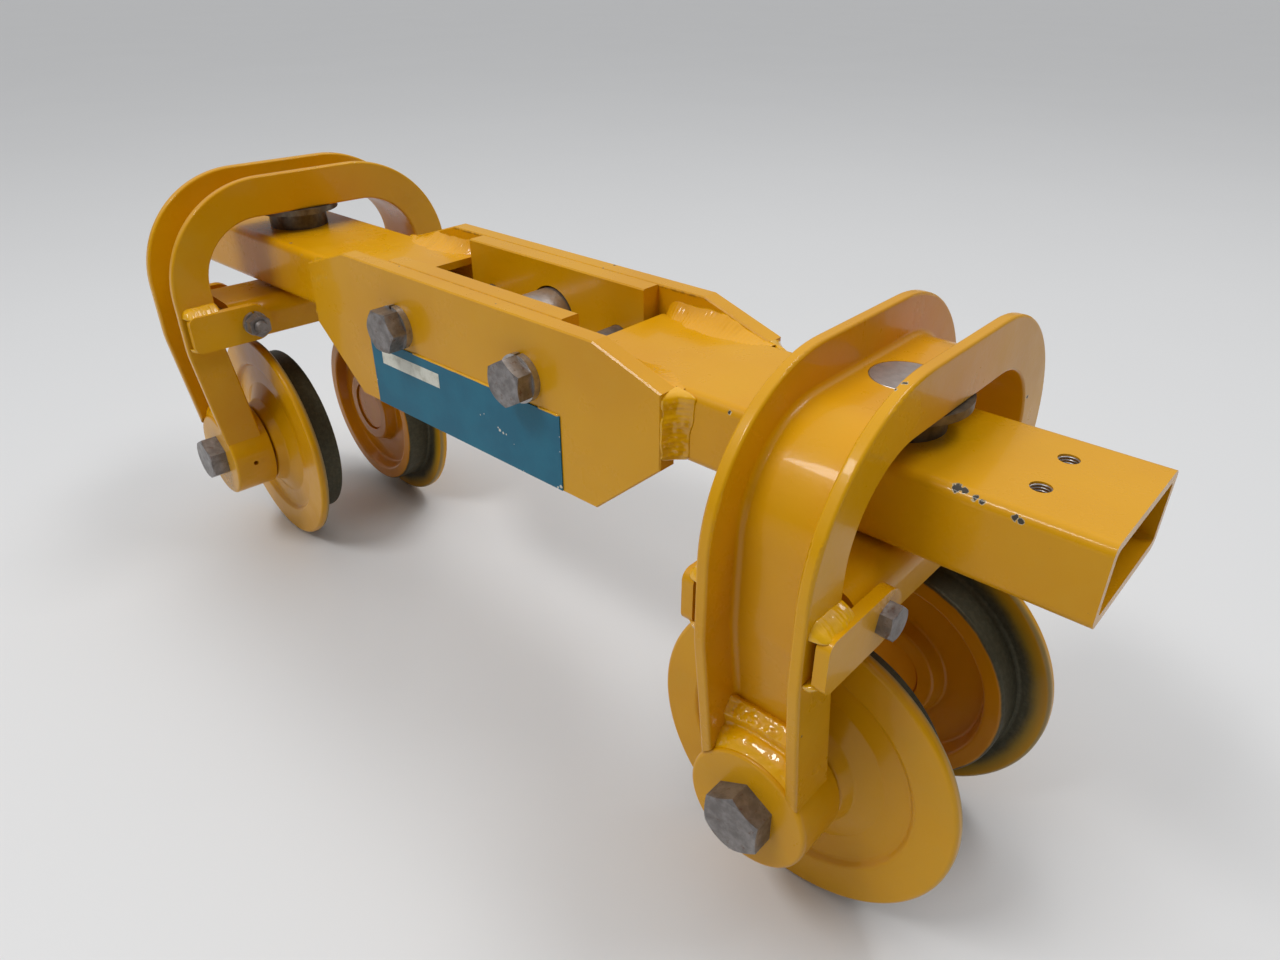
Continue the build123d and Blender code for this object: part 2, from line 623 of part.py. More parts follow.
def build_yoke(name, place):
    """Everything that swivels with one yoke, except its wheels."""
    save(f"{name}_yoke_channel", yoke_channel(), place)
    save(f"{name}_axle_bosses", axle_bosses(), place)
    save(f"{name}_tie_lugs", tie_lugs(), place)
    save(f"{name}_tie_bar", tie_bar(), place)

    tie_grip = 2 * LUG_OUTER_FACE + SMALL_WASHER
    tie_tail = SMALL_NUT + SMALL_TAIL
    tie_threaded = tie_tail + SMALL_EXTRA_THREAD
    tie_length = tie_grip + tie_tail
    tie_bolt = hex_bolt(SMALL_FLATS, SMALL_HEAD, TIE_BOLT_RADIUS, tie_length, tie_threaded, SMALL_PITCH)
    tie_nut = hex_nut(SMALL_FLATS, SMALL_NUT, TIE_BOLT_RADIUS + NUT_BORE_CLEARANCE)
    tie_washer = lock_washer(SMALL_WASHER_RADIUS, TIE_BOLT_RADIUS + WASHER_BORE_CLEARANCE, SMALL_WASHER)
    sides = (-1, 1)
    inward = (-1, 0, 0)
    outward = (1, 0, 0)
    heads = [facing(LUG_OUTER_FACE, side * TIE_BOLT_Y, TIE_BOLT_Z, outward, TIE_BOLT_UP) for side in sides]
    seats = [facing(-LUG_OUTER_FACE, side * TIE_BOLT_Y, TIE_BOLT_Z, inward) for side in sides]
    nuts = [facing(-LUG_OUTER_FACE - SMALL_WASHER, side * TIE_BOLT_Y, TIE_BOLT_Z, inward) for side in sides]
    save(f"{name}_tie_bolts", copies(tie_bolt, heads), place)
    save(f"{name}_tie_bolt_washers", copies(tie_washer, seats), place)
    save(f"{name}_tie_bolt_nuts", copies(tie_nut, nuts), place)

    thrust_plate = disc(THRUST_PLATE_RADIUS, THRUST_BORE_RADIUS, THRUST_SPLIT, ARCH_INSIDE)
    save(f"{name}_thrust_plate", thrust_plate, place)
    save(f"{name}_king_pin", king_pin(), place)
    nut = hex_nut(KING_NUT_FLATS, KING_NUT_HEIGHT, KING_THREAD_RADIUS + NUT_BORE_CLEARANCE)
    save(f"{name}_king_pin_nut", nut, place * Location((0, 0, TIE_BAR_UNDERSIDE - KING_NUT_HEIGHT)))
    save(f"{name}_king_pin_cotter", cotter_pin(), place)

    axle_length = BOSS_OUTER - AXLE_END
    axle_bolt = hex_bolt(LARGE_FLATS, LARGE_HEAD, AXLE_BOLT_RADIUS, axle_length, JAM_NUT, LARGE_PITCH)
    jam_nut = hex_nut(LARGE_FLATS, JAM_NUT, AXLE_BOLT_RADIUS + NUT_BORE_CLEARANCE)
    race = inner_race()
    bore = AXLE_BOLT_RADIUS + NUT_BORE_CLEARANCE
    inner_spacer = disc(INNER_RACE_RADIUS, bore, 0, BEARING_SPACER)
    outer_spacer = disc(INNER_RACE_RADIUS, bore, 0, BOSS_INNER - OUTER_BEARING_START - BEARING_WIDTH)
    save(f"{name}_axle_bolts", copies(axle_bolt, axle_planes(BOSS_OUTER)), place)
    save(f"{name}_axle_nuts", copies(jam_nut, axle_planes(AXLE_END)), place)
    save(f"{name}_bearing_inner_races", copies(race, bearing_planes()), place)
    with BuildPart() as spacers:
        for plane in axle_planes(INNER_BEARING_START + BEARING_WIDTH):
            add(inner_spacer.moved(plane.location))
        for plane in axle_planes(OUTER_BEARING_START + BEARING_WIDTH):
            add(outer_spacer.moved(plane.location))
    save(f"{name}_axle_spacers", spacers.part, place)


def axle_planes(distance, sides=(-1, 1)):
    """Planes on the axle lines, facing outward, at a distance from the middle of the track."""
    return [facing(0, side * distance, AXLE_HEIGHT, (0, side, 0)) for side in sides]


def bearing_planes(sides=(-1, 1)):
    """Where the inner faces of the ball bearings stand."""
    return axle_planes(INNER_BEARING_START, sides) + axle_planes(OUTER_BEARING_START, sides)


# ---- wheels and their bearings, about the local Z of an axle plane ----


def grooved_ring(inside, outside):
    """Bearing ring with a ball groove at mid width."""
    with BuildPart() as ring:
        with BuildSketch(Plane.XZ):
            with Locations(((inside + outside) / 2, BEARING_WIDTH / 2)):
                Rectangle(outside - inside, BEARING_WIDTH)
            with Locations((BEARING_PITCH_RADIUS, BEARING_WIDTH / 2)):
                Circle(BALL_RADIUS + BALL_PLAY, mode=Mode.SUBTRACT)
        revolve(axis=Axis.Z)
    return ring.part


def inner_race():
    return grooved_ring(AXLE_BOLT_RADIUS + NUT_BORE_CLEARANCE, INNER_RACE_RADIUS)


def outer_race_with_balls():
    """Outer ring and the balls that run round inside it."""
    with BuildPart() as race:
        add(grooved_ring(OUTER_RACE_INSIDE, BEARING_RADIUS))
        with Locations((0, 0, BEARING_WIDTH / 2)):
            with PolarLocations(BEARING_PITCH_RADIUS, BALL_COUNT):
                Sphere(BALL_RADIUS)
    return race.part


def wheel_body():
    """Single-flange wheel: hub and tread towards the track, flange outward."""
    rim_inside = TREAD_RADIUS - RIM_DEPTH
    recess = WHEEL_INNER + RECESS_DEPTH
    outer_recess = WHEEL_OUTER - OUTER_RECESS_DEPTH
    core = LIP_RADIUS / 2
    with BuildPart() as wheel:
        with BuildSketch(Plane.XZ):
            with BuildLine():
                FilletPolyline(
                    (core, WHEEL_INNER),
                    (HUB_RING_RADIUS, WHEEL_INNER),
                    (HUB_RING_RADIUS + RECESS_SLOPE, recess),
                    (rim_inside - RECESS_SLOPE, recess),
                    (rim_inside, WHEEL_INNER),
                    (TREAD_RADIUS, WHEEL_INNER),
                    (TREAD_RADIUS, TREAD_END),
                    (FLANGE_RADIUS, TREAD_END + WHEEL_FLANGE_TAPER),
                    (FLANGE_RADIUS, WHEEL_OUTER),
                    (OUTER_RECESS_OUTSIDE, WHEEL_OUTER),
                    (OUTER_RECESS_OUTSIDE - OUTER_RECESS_SLOPE, outer_recess),
                    (HUB_CONE_RADIUS, outer_recess),
                    (HUB_FOOT_RADIUS, WHEEL_OUTER + HUB_STEP),
                    (HUB_NOSE_RADIUS, HUB_OUTER),
                    (core, HUB_OUTER),
                    radius=WHEEL_EDGE,
                )
                Line((core, HUB_OUTER), (core, WHEEL_INNER))
            make_face()
        revolve(axis=Axis.Z)
        with BuildSketch(Plane.XY):
            Circle(BEARING_RADIUS)
        extrude(amount=HUB_OUTER - BEARING_LIP, mode=Mode.SUBTRACT)
        with BuildSketch(Plane.XY):
            Circle(LIP_RADIUS)
        extrude(amount=HUB_OUTER, mode=Mode.SUBTRACT)
    return wheel.part


def dust_cap():
    """Pressed cup that closes the bearing bore and covers the axle nut."""
    with BuildPart() as cap:
        with BuildSketch(Plane.XZ):
            with BuildLine():
                Polyline(
                    (0, CAP_FACE),
                    (BEARING_RADIUS - CAP_EDGE, CAP_FACE),
                    (BEARING_RADIUS, CAP_FACE + CAP_EDGE),
                    (BEARING_RADIUS, INNER_BEARING_START),
                    (CAP_SKIRT_INSIDE, INNER_BEARING_START),
                    (CAP_SKIRT_INSIDE, CAP_FACE + CAP_THICKNESS),
                    (0, CAP_FACE + CAP_THICKNESS),
                    close=True,
                )
            make_face()
        revolve(axis=Axis.Z)
    return cap.part


def build_wheel(name, side, place):
    """One wheel with its bearings and cap; side is -1 in front and 1 behind."""
    save(f"{name}_wheel", copies(wheel_body(), axle_planes(0, (side,))), place)
    save(f"{name}_wheel_bearings", copies(outer_race_with_balls(), bearing_planes((side,))), place)
    save(f"{name}_dust_cap", copies(dust_cap(), axle_planes(0, (side,))), place)


build_load_bar()
for end_name, end_place in (
    ("left", Location((-YOKE_X, 0, 0), (0, 0, 180 + LEFT_YOKE_TURN))),
    ("right", Location((YOKE_X, 0, 0))),
):
    build_yoke(end_name, end_place)
    front = -1 if end_name == "right" else 1
    build_wheel(f"{end_name}_front", front, end_place)
    build_wheel(f"{end_name}_rear", -front, end_place)
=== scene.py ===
"""Looks for the beam trolley: paint, worn wheels, welds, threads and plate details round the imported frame.

Metres, in the frame's own axes: +X along the load bar, +Y away from the nameplate, +Z up.
"""

import json
import math

import bpy
from mathutils import Matrix, Vector, noise


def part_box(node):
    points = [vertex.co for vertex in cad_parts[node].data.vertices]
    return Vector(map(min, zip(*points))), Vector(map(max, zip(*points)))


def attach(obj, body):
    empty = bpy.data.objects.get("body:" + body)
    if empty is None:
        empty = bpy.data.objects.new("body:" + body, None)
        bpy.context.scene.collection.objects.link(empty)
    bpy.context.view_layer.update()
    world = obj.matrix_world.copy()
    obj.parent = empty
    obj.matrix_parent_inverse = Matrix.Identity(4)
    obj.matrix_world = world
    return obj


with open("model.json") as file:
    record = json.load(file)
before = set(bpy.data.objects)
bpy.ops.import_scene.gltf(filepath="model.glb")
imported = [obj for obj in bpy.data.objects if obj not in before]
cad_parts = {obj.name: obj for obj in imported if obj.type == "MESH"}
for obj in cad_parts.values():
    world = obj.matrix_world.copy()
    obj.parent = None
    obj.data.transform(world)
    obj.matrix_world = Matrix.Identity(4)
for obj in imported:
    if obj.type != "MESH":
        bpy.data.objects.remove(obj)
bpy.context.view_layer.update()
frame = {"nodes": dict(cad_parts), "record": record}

MM = 0.001
NODES = frame["nodes"]


def corners(node):
    """Lowest and highest corner of one CAD node."""
    low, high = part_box(node)
    return Vector(low), Vector(high)


def middle(node):
    low, high = corners(node)
    return (low + high) / 2


# Sizes that several pieces need, read from the frame; the last few aren't there and repeat the CAD's.
TUBE_LOW, TUBE_HIGH = corners("right_beam_tube")
TUBE_SIDE = TUBE_HIGH.y
TUBE_TOP = TUBE_HIGH.z
TUBE_BOTTOM = TUBE_LOW.z
TUBE_START = TUBE_LOW.x
PLATE_LOW, PLATE_HIGH = corners("front_side_plate")
PLATE_FACE = PLATE_LOW.y
PLATE_END = PLATE_HIGH.x
PLATE_TOP = PLATE_HIGH.z
PLATE_THICKNESS = PLATE_HIGH.y - PLATE_LOW.y
NAME_LOW, NAME_HIGH = corners("nameplate")
AXLE_HEIGHT = middle("right_front_wheel").z
FLANGE_RADIUS = (corners("right_front_wheel")[1].z - corners("right_front_wheel")[0].z) / 2
BOSS_LOW, BOSS_HIGH = corners("right_axle_bosses")
BOSS_RADIUS = (BOSS_HIGH.z - BOSS_LOW.z) / 2
BOSS_OUTER = BOSS_HIGH.y
CHANNEL_LOW, CHANNEL_HIGH = corners("right_yoke_channel")
CHANNEL_HALF = (CHANNEL_HIGH.x - CHANNEL_LOW.x) / 2
LUG_LOW, LUG_HIGH = corners("right_tie_lugs")
LUG_TOP = LUG_HIGH.z
LUG_BOTTOM = LUG_LOW.z
TREAD_RADIUS = 66.5 * MM
PLATE_SHOULDER = 109.0 * MM
FLANGE_THICKNESS = 6.0 * MM
LEFT_TURN = math.radians(175)

YOKES = {
    "left": Matrix.Translation((middle("left_king_pin").x, 0, 0)) @ Matrix.Rotation(LEFT_TURN, 4, "Z"),
    "right": Matrix.Translation((middle("right_king_pin").x, 0, 0)),
}


# ---- materials ----


class Look:
    """One procedural material and short calls for the nodes in it."""

    def __init__(self, name):
        self.material = bpy.data.materials.new(name)
        self.material.use_nodes = True
        self.tree = self.material.node_tree
        self.shader = self.tree.nodes["Principled BSDF"]
        self.place = self.node("ShaderNodeTexCoord").outputs["Object"]

    def node(self, kind, **settings):
        made = self.tree.nodes.new(kind)
        for key, value in settings.items():
            setattr(made, key, value)
        return made

    def put(self, socket, value):
        """Link an output to an input, or set the input's own value."""
        if isinstance(value, bpy.types.NodeSocket):
            self.tree.links.new(value, socket)
        elif isinstance(value, tuple) and len(value) == 3 and socket.type == "RGBA":
            socket.default_value = (*value, 1)
        else:
            socket.default_value = value

    def set(self, **values):
        """Set the shader's sockets, named in lower case with underscores."""
        for key, value in values.items():
            self.put(self.shader.inputs[key.replace("_", " ").title().replace("Ior", "IOR")], value)

    def noise(self, scale, detail=3.0, roughness=0.5, place=None):
        made = self.node("ShaderNodeTexNoise")
        self.put(made.inputs["Vector"], place or self.place)
        made.inputs["Scale"].default_value = scale
        made.inputs["Detail"].default_value = detail
        made.inputs["Roughness"].default_value = roughness
        return made.outputs["Fac"]

    def ramp(self, value, low, high):
        """Smooth step from 0 at low to 1 at high; low may be the larger."""
        made = self.node("ShaderNodeMapRange", interpolation_type="SMOOTHSTEP")
        self.put(made.inputs["Value"], value)
        made.inputs["From Min"].default_value = low
        made.inputs["From Max"].default_value = high
        return made.outputs["Result"]

    def math(self, operation, *values):
        made = self.node("ShaderNodeMath", operation=operation)
        for socket, value in zip(made.inputs, values):
            self.put(socket, value)
        return made.outputs["Value"]

    def mix(self, factor, first, second):
        made = self.node("ShaderNodeMix", data_type="RGBA")
        self.put(made.inputs["Factor"], factor)
        self.put(made.inputs[6], first)
        self.put(made.inputs[7], second)
        return made.outputs[2]

    def blend(self, factor, first, second):
        """Plain number between first and second."""
        made = self.node("ShaderNodeMix")
        self.put(made.inputs["Factor"], factor)
        self.put(made.inputs[2], first)
        self.put(made.inputs[3], second)
        return made.outputs[0]

    def mapped(self, location=(0, 0, 0), rotation=(0, 0, 0), scale=(1, 1, 1)):
        made = self.node("ShaderNodeMapping", vector_type="TEXTURE")
        self.put(made.inputs["Vector"], self.place)
        made.inputs["Location"].default_value = location
        made.inputs["Rotation"].default_value = rotation
        made.inputs["Scale"].default_value = scale
        return made.outputs["Vector"]

    def stretched(self, scale):
        """Place scaled unevenly, for streaks."""
        made = self.node("ShaderNodeVectorMath", operation="MULTIPLY")
        self.put(made.inputs[0], self.place)
        made.inputs[1].default_value = scale
        return made.outputs["Vector"]

    def bump(self, height, distance, normal=None):
        made = self.node("ShaderNodeBump")
        made.inputs["Strength"].default_value = 1.0
        made.inputs["Distance"].default_value = distance
        self.put(made.inputs["Height"], height)
        if normal is not None:
            self.put(made.inputs["Normal"], normal)
        return made.outputs["Normal"]

    def near(self, spots):
        """1 inside any of the small irregular spots (x, y, z, radius in mm), 0 outside."""
        ragged = self.noise(430, 2.0, 0.55)
        total = None
        for x, y, z, radius in spots:
            gap = self.node("ShaderNodeVectorMath", operation="DISTANCE")
            self.put(gap.inputs[0], self.place)
            gap.inputs[1].default_value = (x * MM, y * MM, z * MM)
            far = self.math("MULTIPLY_ADD", ragged, radius * MM * 1.5, gap.outputs["Value"])
            inside = self.ramp(far, radius * MM * 1.42, radius * MM * 1.18)
            total = inside if total is None else self.math("MAXIMUM", total, inside)
        return total


AMBER = (0.680, 0.335, 0.001)
AMBER_DEEP = (0.620, 0.286, 0.000)
AMBER_DUST = (0.640, 0.340, 0.014)
BARE_DARK = (0.060, 0.055, 0.045)
# pale ring round each chip: primer showing through, plus a painted highlight on the chip's edge
CHIP_RIM_PRIMER_AND_HIGHLIGHT = (0.75, 0.68, 0.48)
SPECK_BROWN = (0.16, 0.09, 0.03)
# dark amber for the painted shade along the plate seams
SEAM_SHADE = (0.17, 0.080, 0.010)

# Chips through the paint, as x, y, z and radius in mm.
BAR_CHIPS = (
    (291.6, -35.6, 245.0, 3.8),
    (294.6, -35.4, 245.0, 2.8),
    (299.4, -37.4, 244.1, 2.8),
    (302.0, -37.6, 243.6, 2.6),
    (315.6, -38.0, 242.4, 2.6),
    (317.8, -38.1, 241.6, 2.4),
    (184.4, -38.0, 242.4, 1.9),
    (-203.8, -32.2, 245.0, 1.5),
    (-181.6, -38.1, 242.4, 1.1),
    (-78.7, 51.0, 259.5, 1.1),
    (33.6, 47.4, 259.5, 1.2),
    (32.0, 39.0, 259.5, 0.9),
    (33.1, -44.8, 259.5, 1.0),
    (-61.0, -40.0, 259.5, 0.8),
)
YOKE_CHIPS = (
    (270.2, -49.5, 286.6, 2.0),
    (269.0, -54.0, 285.3, 1.4),
    (268.6, -58.0, 283.9, 0.9),
    (273.9, 82.0, 236.0, 1.6),
    (274.0, -101.0, 150.0, 0.9),
)


def seam_shade_line(look):
    """Broken dark line of painted shade in the groove where the side plates and the hanger plates meet along
    their tops.
    """
    split = look.node("ShaderNodeSeparateXYZ")
    look.put(split.inputs[0], look.place)
    from_middle = look.math("ABSOLUTE", split.outputs["Y"])
    off_seam = look.math("ABSOLUTE", look.math("SUBTRACT", from_middle, TUBE_SIDE))
    groove = look.math("MULTIPLY", look.ramp(off_seam, 0.65 * MM, 0.15 * MM),
                       look.ramp(split.outputs["Z"], PLATE_TOP - 2.0 * MM, PLATE_TOP - 1.6 * MM))
    return look.math("MULTIPLY", groove, look.ramp(look.noise(210, 3.0, 0.7), 0.36, 0.60))


def paint(name, colour=AMBER, deep=AMBER_DEEP, chips=(), peel=0.00006, runs=0.00028, gloss=0.24, seam=False):
    """Thick gloss enamel: orange peel, slow waves, dusty patches, and chips down to dark steel."""
    look = Look(name)
    patches = look.noise(9, 3.0)
    grime = look.noise(34, 5.0, 0.62)
    colour = look.mix(look.ramp(patches, 0.36, 0.68), colour, deep)
    colour = look.mix(look.math("MULTIPLY", look.ramp(grime, 0.5, 0.78), 0.4), colour, AMBER_DUST)
    specks = look.ramp(look.noise(900, 1.0), 0.82, 0.86)
    colour = look.mix(look.math("MULTIPLY", specks, 0.6), colour, SPECK_BROWN)
    rough = look.blend(look.ramp(grime, 0.35, 0.75), 0.26, 0.40)
    waves = look.bump(look.noise(55, 2.0), runs)
    skin = look.bump(look.noise(420, 1.0), peel, waves)
    if chips:
        bare = look.near(chips)
        # the pale ring round each chip is partly primer and partly a painted highlight on its edge
        rim = look.math("MULTIPLY", look.math("MULTIPLY", bare, look.math("SUBTRACT", 1.0, bare)), 4.0)
        colour = look.mix(bare, colour, BARE_DARK)
        colour = look.mix(look.math("MULTIPLY", rim, 0.7), colour, CHIP_RIM_PRIMER_AND_HIGHLIGHT)
        rough = look.blend(bare, rough, 0.7)
        skin = look.bump(look.math("SUBTRACT", 1.0, bare), 0.0003, skin)
    if seam:
        # painted shade: darken a broken line along the seam groove on the plate tops
        colour = look.mix(look.math("MULTIPLY", seam_shade_line(look), 0.6), colour, SEAM_SHADE)
    look.set(base_color=colour, roughness=rough, normal=skin, metallic=0.0, specular_ior_level=0.18,
             coat_weight=gloss, coat_roughness=0.06, ior=1.5)
    return look.material


# Depths out from the load bar's middle plane between which a wheel's looks change, from 0 to 1.
INNER_SIDE = (0.0330, 0.0300)
SHORT_OF_FLANGE = (0.0480, 0.0440)
SHORT_OF_FLANGE_FACE = (0.0510, 0.0498)
SHORT_OF_FLANGE_BACK = (0.0535, 0.0505)

# darker, redder amber painted on the wheels' inward faces as painted shade
WHEEL_INNER_SHADE = (0.50, 0.175, 0.0)
TREAD_EDGE_GREEN = (0.13, 0.125, 0.02)
FLANGE_RIM_DIRT = (0.20, 0.19, 0.10)
TREAD_DARK = (0.040, 0.036, 0.022)
TREAD_LIGHT = (0.085, 0.078, 0.048)
TREAD_MOTTLE = (0.105, 0.098, 0.062)


def wheel_paint(name, centre, turn):
    """Start a wheel's look, with the radius, angle and depth about its axle line."""
    look = Look(name)
    local = look.mapped(tuple(centre), (math.radians(90), 0, turn))
    split = look.node("ShaderNodeSeparateXYZ")
    look.put(split.inputs[0], local)
    squares = [look.math("POWER", split.outputs[axis], 2.0) for axis in ("X", "Y")]
    radius = look.math("SQRT", look.math("ADD", *squares))
    angle = look.math("ARCTAN2", split.outputs["Y"], split.outputs["X"])
    depth = split.outputs["Z"]
    worn_radius = look.math("MULTIPLY_ADD", look.noise(90, 3.0), 0.0012, radius)
    return look, radius, angle, depth, worn_radius


def finish_wheel(name, node, side):
    """Wheel material for one CAD wheel; side is the way its outer face points along its axle."""
    end = node.split("_")[0]
    turn = 0.0 if end == "right" else LEFT_TURN - math.pi
    centre = YOKES[end].translation.copy()
    centre.z = AXLE_HEIGHT
    look, radius, angle, depth, worn = wheel_paint(name, centre, turn)
    outward = look.math("MULTIPLY", depth, -float(side))  # away from the load bar's middle plane
    patches = look.noise(12, 3.0)
    grime = look.noise(48, 5.0, 0.6)
    colour = look.mix(look.ramp(patches, 0.38, 0.66), AMBER, AMBER_DEEP)
    colour = look.mix(look.math("MULTIPLY", look.ramp(grime, 0.46, 0.74), 0.45), colour, AMBER_DUST)
    # painted shade: the inward faces and the rim's inner face turn darker and redder
    inner_shade_mask = look.ramp(outward, *INNER_SIDE)
    inside_rim = look.ramp(radius, TREAD_RADIUS - 0.0005, TREAD_RADIUS - 0.0015)
    inner_shade_mask = look.math("MAXIMUM", inner_shade_mask, inside_rim)
    inner_shade_mask = look.math("MULTIPLY", inner_shade_mask, look.ramp(outward, *SHORT_OF_FLANGE))
    colour = look.mix(look.math("MULTIPLY", inner_shade_mask, 0.7), colour, WHEEL_INNER_SHADE)
    # bare from the rim's corner over the tread, fading out partway up the flange
    inward_side = look.ramp(outward, *SHORT_OF_FLANGE_FACE)
    tread = look.math("MULTIPLY", look.ramp(worn, TREAD_RADIUS - 0.0010, TREAD_RADIUS + 0.0001), inward_side)
    ragged = look.math("MULTIPLY_ADD", grime, 0.006, radius)
    fade = look.ramp(ragged, TREAD_RADIUS + 0.0135, TREAD_RADIUS + 0.0070)
    bare = look.math("MULTIPLY", tread, fade)
    green = look.math("MULTIPLY", tread, look.ramp(radius, FLANGE_RADIUS + 0.002, TREAD_RADIUS + 0.006))
    colour = look.mix(look.math("MULTIPLY", green, 0.75), colour, TREAD_EDGE_GREEN)
    outer_edge = look.ramp(radius, FLANGE_RADIUS - 0.0022, FLANGE_RADIUS - 0.0006)
    rim = look.math("MULTIPLY", outer_edge, look.ramp(outward, *SHORT_OF_FLANGE_BACK))
    colour = look.mix(look.math("MULTIPLY", rim, 0.7), colour, FLANGE_RIM_DIRT)
    # noise drawn out round the axle into fine turned rings
    rings = look.node("ShaderNodeTexNoise")
    joined = look.node("ShaderNodeCombineXYZ")
    look.put(joined.inputs[0], look.math("MULTIPLY", depth, 2500.0))
    look.put(joined.inputs[1], look.math("MULTIPLY", angle, 1.5))
    look.put(joined.inputs[2], look.math("MULTIPLY", radius, 900.0))
    look.put(rings.inputs["Vector"], joined.outputs[0])
    rings.inputs["Scale"].default_value = 1.0
    steel = look.mix(rings.outputs["Fac"], TREAD_DARK, TREAD_LIGHT)
    mottle = look.math("MULTIPLY", look.ramp(look.noise(330, 4.0, 0.7), 0.42, 0.62), 0.45)
    olive = look.mix(mottle, steel, TREAD_MOTTLE)
    colour = look.mix(bare, colour, olive)
    look.set(base_color=colour, metallic=look.math("MULTIPLY", bare, 0.35),
             roughness=look.blend(bare, look.blend(look.ramp(grime, 0.35, 0.75), 0.28, 0.42), 0.5),
             specular_ior_level=0.18,
             coat_weight=look.math("MULTIPLY", look.math("SUBTRACT", 1.0, bare), 0.24),
             coat_roughness=0.08, ior=1.5)
    waves = look.bump(look.noise(60, 2.0), 0.00025)
    turned = look.bump(rings.outputs["Fac"], 0.00006, waves)
    look.set(normal=look.bump(look.noise(420, 1.0), 0.00006, turned))
    return look.material


RUST_BROWN = (0.115, 0.048, 0.020)


def metal(name, colour, dark, rough, rust=0.0, streak=(1, 1, 1), metallic=1.0):
    """Bare steel: brushed streaks, dull patches and a little rust."""
    look = Look(name)
    streaks = look.noise(300, 3.0, 0.6, place=look.stretched(streak))
    cloud = look.noise(160, 4.0, 0.6)
    tone = look.mix(look.ramp(cloud, 0.3, 0.7), colour, dark)
    tone = look.mix(look.math("MULTIPLY", look.ramp(streaks, 0.45, 0.7), 0.35), tone, dark)
    cover = look.math("MULTIPLY", look.ramp(look.noise(240, 5.0, 0.7), 0.56, 0.70), rust)
    tone = look.mix(cover, tone, RUST_BROWN)
    look.set(base_color=tone, metallic=look.math("MULTIPLY_ADD", cover, -0.8 * metallic, metallic),
             roughness=look.math("MULTIPLY_ADD", cloud, 0.22, rough - 0.1),
             normal=look.bump(streaks, 0.00004, look.bump(cloud, 0.00022)))
    return look.material


# Scratches and worn edge spots on the nameplate, as x, y, z and radius in mm.
PLATE_MARKS = (
    (32.4, -50.0, 187.4, 1.2),
    (34.0, -50.0, 186.2, 1.5),
    (36.6, -50.0, 185.2, 1.3),
    (39.2, -50.0, 185.0, 1.1),
    (20.5, -50.0, 192.0, 0.6),
    (17.0, -50.0, 190.2, 0.6),
    (45.5, -50.0, 181.0, 0.5),
    (83.6, -50.0, 199.0, 0.9),
    (83.4, -50.0, 190.0, 0.7),
    (82.8, -50.0, 168.0, 1.5),
    (80.5, -50.0, 166.6, 1.1),
    (52.0, -50.0, 166.2, 0.8),
    (-88.6, -50.0, 181.0, 0.9),
)


def enamel_plate(name):
    """Blue enamel on thin metal, with a few scratches through to bare metal."""
    look = Look(name)
    cloud = look.noise(40, 4.0)
    colour = look.mix(look.ramp(cloud, 0.35, 0.7), (0.006, 0.120, 0.200), (0.012, 0.150, 0.235))
    scratched = look.near(PLATE_MARKS)
    colour = look.mix(scratched, colour, (0.60, 0.58, 0.50))
    look.set(base_color=colour, roughness=look.blend(cloud, 0.38, 0.52), metallic=0.0,
             specular_ior_level=0.30, normal=look.bump(look.noise(300, 2.0), 0.00004))
    return look.material


def blank_field(name):
    """Off-white blank panel on the nameplate, slightly stained."""
    look = Look(name)
    stain = look.noise(120, 4.0, 0.6)
    colour = look.mix(look.ramp(stain, 0.42, 0.72), (0.70, 0.70, 0.62), (0.50, 0.49, 0.40))
    look.set(base_color=colour, roughness=0.5, normal=look.bump(stain, 0.00003))
    return look.material


def floor_look():
    """Pale matt table top."""
    look = Look("stage_pale")
    cloud = look.noise(2.5, 3.0)
    colour = look.mix(cloud, (0.690, 0.700, 0.715), (0.715, 0.725, 0.740))
    look.set(base_color=colour, roughness=0.55)
    return look.material


MATERIALS = {
    "amber_paint": paint("amber_paint"),
    "bar_paint": paint("bar_paint", chips=BAR_CHIPS, seam=True),
    "yoke_paint": paint("yoke_paint", chips=YOKE_CHIPS),
    "cap_paint": paint("cap_paint", colour=(0.74, 0.32, 0.005), deep=(0.58, 0.22, 0.0)),
    "weld_paint": paint(
        "weld_paint", colour=(0.80, 0.43, 0.001), deep=(0.76, 0.38, 0.0), peel=0.00010, gloss=1.0),
    "weld_paint_smooth": paint(
        "weld_paint_smooth", colour=(0.76, 0.37, 0.001), deep=(0.70, 0.32, 0.0), gloss=0.45),
    "bolt_steel": metal(
        "bolt_steel", (0.285, 0.268, 0.262), (0.165, 0.150, 0.145), 0.38, rust=0.75, metallic=0.7),
    "washer_steel": metal(
        "washer_steel", (0.50, 0.48, 0.46), (0.32, 0.30, 0.29), 0.32, rust=0.45, metallic=0.8),
    "pin_steel": metal(
        "pin_steel", (0.50, 0.475, 0.47), (0.36, 0.335, 0.325), 0.34, rust=0.12,
        streak=(0.2, 6, 6), metallic=0.8),
    "disc_steel": metal(
        "disc_steel", (0.190, 0.165, 0.125), (0.095, 0.078, 0.060), 0.42, rust=0.3, metallic=0.7),
    "bearing_steel": metal("bearing_steel", (0.5, 0.5, 0.5), (0.35, 0.35, 0.35), 0.25),
    "bronze": metal("bronze", (0.55, 0.38, 0.18), (0.35, 0.22, 0.10), 0.35),
    "nameplate_blue": enamel_plate("nameplate_blue"),
    "blank_field": blank_field("blank_field"),
}


def dress(piece, material):
    """Give a piece one material through its object's slots."""
    if not piece.material_slots:
        piece.data.materials.append(None)
    for slot in piece.material_slots:
        slot.link = "OBJECT"
        slot.material = material


